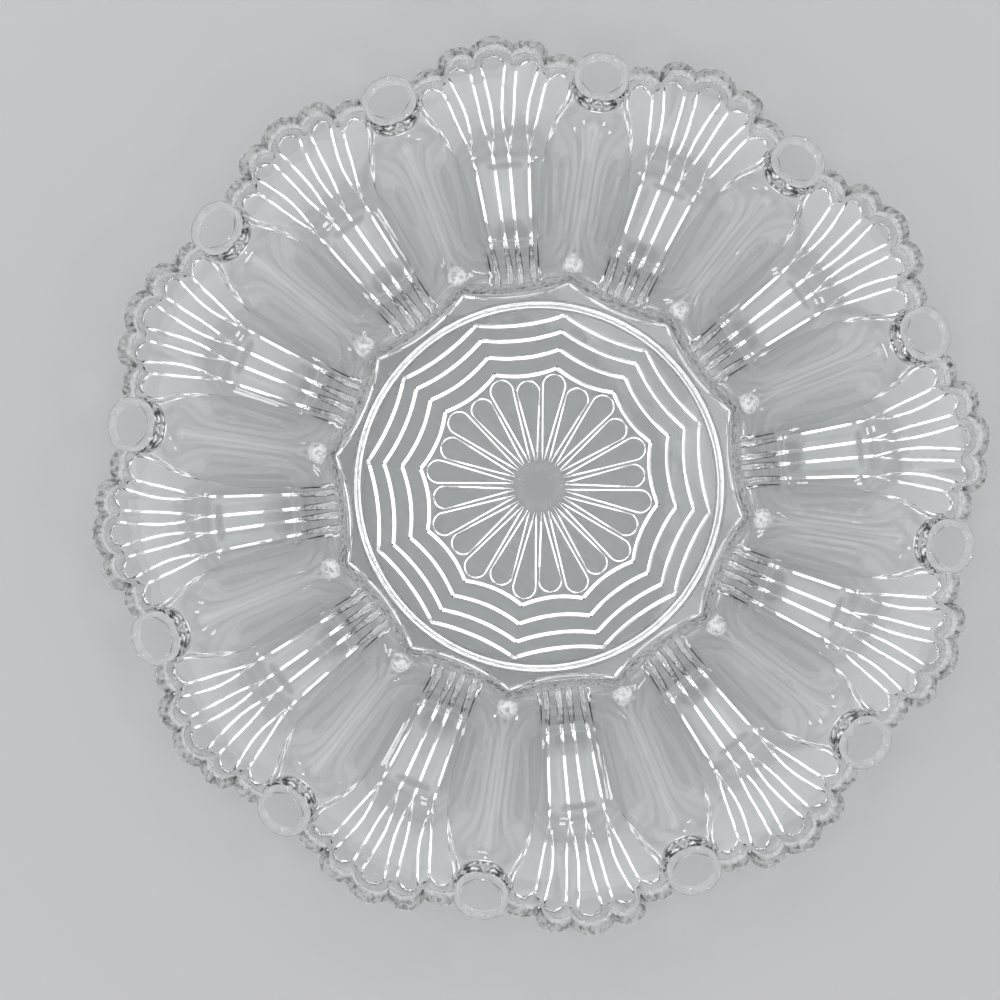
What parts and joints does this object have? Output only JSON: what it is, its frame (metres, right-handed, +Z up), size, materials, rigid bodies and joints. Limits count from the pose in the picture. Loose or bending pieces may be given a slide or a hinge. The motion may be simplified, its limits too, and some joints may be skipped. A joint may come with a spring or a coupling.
{
  "type": "deviled egg platter",
  "caption": "Round clear pressed glass platter with shell-shaped fluted egg cups, pierced rim loops and a patterned flat centre on a foot ring.",
  "frame": {"origin": "on the table under the middle of the plate, at the centre of the foot ring's flat", "axes": "+Z up along the plate's axis; +X through the middle of egg_cup_01, +Y through the middle of egg_cup_04"},
  "size_m": [0.26, 0.26, 0.034],
  "materials": {
    "clear_glass": "clear fire-polished pressed glass"
  },
  "bodies": {
    "root": {"centre_panel": "clear_glass", "foot_ring": "clear_glass", "egg_cup_01": "clear_glass", "egg_cup_02": "clear_glass", "egg_cup_03": "clear_glass", "egg_cup_04": "clear_glass", "egg_cup_05": "clear_glass", "egg_cup_06": "clear_glass", "egg_cup_07": "clear_glass", "egg_cup_08": "clear_glass", "egg_cup_09": "clear_glass", "egg_cup_10": "clear_glass", "egg_cup_11": "clear_glass", "egg_cup_12": "clear_glass", "rim_loop_01": "clear_glass", "rim_loop_02": "clear_glass", "rim_loop_03": "clear_glass", "rim_loop_04": "clear_glass", "rim_loop_05": "clear_glass", "rim_loop_06": "clear_glass", "rim_loop_07": "clear_glass", "rim_loop_08": "clear_glass", "rim_loop_09": "clear_glass", "rim_loop_10": "clear_glass", "rim_loop_11": "clear_glass", "rim_loop_12": "clear_glass", "pocket_beads": "clear_glass"}
  },
  "joints": []
}
